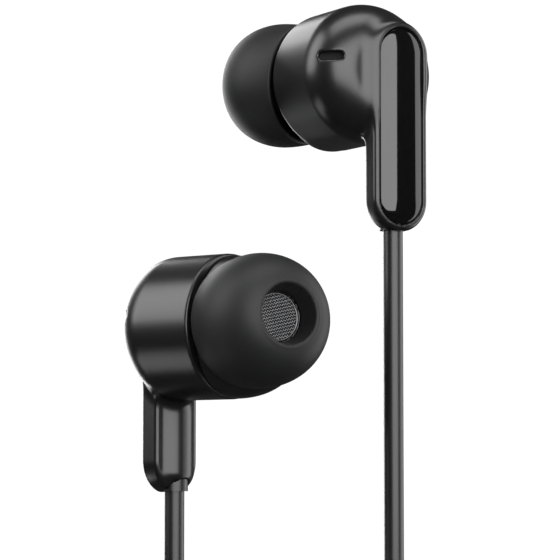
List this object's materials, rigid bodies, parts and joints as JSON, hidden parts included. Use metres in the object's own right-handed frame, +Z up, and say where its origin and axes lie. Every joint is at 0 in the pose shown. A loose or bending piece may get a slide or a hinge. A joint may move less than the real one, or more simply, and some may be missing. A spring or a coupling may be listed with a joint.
{
  "type": "wired earphones",
  "caption": "Wired in-ear earphones: rounded barrel buds with stems, soft ear tips, thin leads, a splitter, a tied hank of cord and a jack plug.",
  "frame": {"origin": "centre of the left ear tip's mouth, where the left ear holds the earphones", "axes": "+Z up along the hanging leads, +X from the right bud to the left bud, +Y away from the side that shows the left bud's outer face"},
  "size_m": [0.0307, 0.036, 0.1802],
  "materials": {
    "shell": "satin moulded plastic",
    "gloss": "piano gloss",
    "silicone": "matte silicone",
    "mesh": "fine woven wire",
    "dark_plastic": "matte",
    "steel": "plated",
    "magnet": "nickel plated",
    "copper": "lacquered copper wire",
    "film": "thin film",
    "board": "solder mask",
    "cloth": "acoustic cloth",
    "cord": "satin elastomer",
    "moulding": "satin elastomer",
    "strap": "woven strap",
    "gold": "gold plated"
  },
  "bodies": {
    "harness": {"left_rear_shell": "shell", "left_front_shell": "shell", "left_stem_insert": "gloss", "left_nozzle_mesh": "mesh", "left_driver_frame": "dark_plastic", "left_driver_yoke": "steel", "left_driver_magnet": "magnet", "left_pole_plate": "steel", "left_surround": "film", "left_terminal_board": "board", "left_vent_cloth": "cloth", "left_cord_bushing": "cord", "right_rear_shell": "shell", "right_front_shell": "shell", "right_stem_insert": "gloss", "right_nozzle_mesh": "mesh", "right_driver_frame": "dark_plastic", "right_driver_yoke": "steel", "right_driver_magnet": "magnet", "right_pole_plate": "steel", "right_surround": "film", "right_terminal_board": "board", "right_vent_cloth": "cloth", "right_cord_bushing": "cord", "left_lead": "cord", "left_lead_hank": "cord", "left_lead_end": "cord", "right_lead": "cord", "right_lead_hank": "cord", "right_lead_end": "cord", "splitter": "moulding", "main_cord_start": "cord", "main_cord_hank": "cord", "main_cord_tail": "cord", "cord_tie": "strap", "plug_relief": "moulding", "plug_handle": "moulding", "plug_sleeve": "gold", "plug_ring": "gold", "plug_tip": "gold", "plug_insulators": "dark_plastic"},
    "left_ear_tip": {"left_ear_tip": "silicone"},
    "right_ear_tip": {"right_ear_tip": "silicone"},
    "left_moving_coil": {"left_voice_coil": "copper", "left_diaphragm": "film"},
    "right_moving_coil": {"right_voice_coil": "copper", "right_diaphragm": "film"}
  },
  "joints": [
    {"name": "left_tip_pull", "type": "slide", "parent": "harness", "child": "left_ear_tip", "axis": [-0.7861, 0.6142, 0.0698], "range_m": [0, 0.009]},
    {"name": "right_tip_pull", "type": "slide", "parent": "harness", "child": "right_ear_tip", "axis": [0.4988, -0.8639, 0.0698], "range_m": [0, 0.009]},
    {"name": "left_diaphragm_travel", "type": "slide", "parent": "harness", "child": "left_moving_coil", "axis": [-0.5, 0.866, 0], "range_m": [-0.0002, 0.0002], "stiffness_N_per_m": 200},
    {"name": "right_diaphragm_travel", "type": "slide", "parent": "harness", "child": "right_moving_coil", "axis": [0.788, -0.6157, 0], "range_m": [-0.0002, 0.0002], "stiffness_N_per_m": 200}
  ]
}
